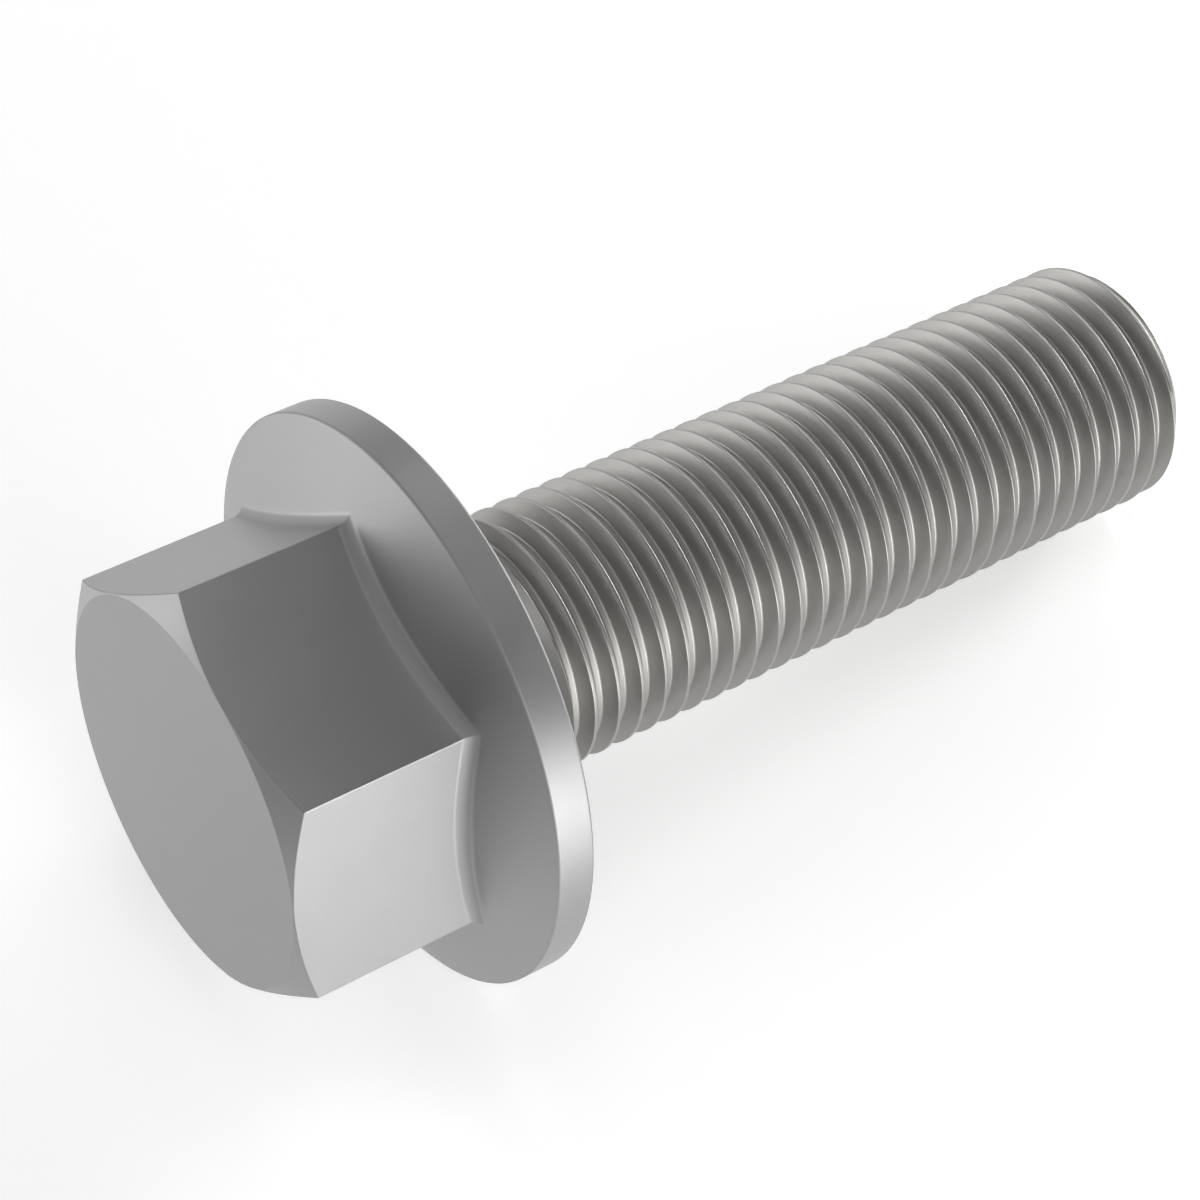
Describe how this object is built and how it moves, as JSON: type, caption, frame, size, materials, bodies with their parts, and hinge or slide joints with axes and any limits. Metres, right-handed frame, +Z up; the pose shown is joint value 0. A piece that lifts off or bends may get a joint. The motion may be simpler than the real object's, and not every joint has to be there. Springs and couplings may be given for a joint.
{
  "type": "hexagon flange screw",
  "caption": "Hexagon head screw with a wide one-piece flange and a fine right-hand thread close up to the head, for clamping parts without a washer.",
  "frame": {"origin": "middle of the footprint's box on the ground, with the screw lying on its flange rim and on the crests near its point", "axes": "+Z up, +X along the shank towards the point, which dips 10.8 degrees below level, +Y to the left of that"},
  "size_m": [0.0536, 0.0266, 0.0264],
  "materials": {
    "steel": "satin, forged head and brighter rolled thread"
  },
  "bodies": {
    "root": {"flange_screw": "steel"}
  },
  "joints": []
}
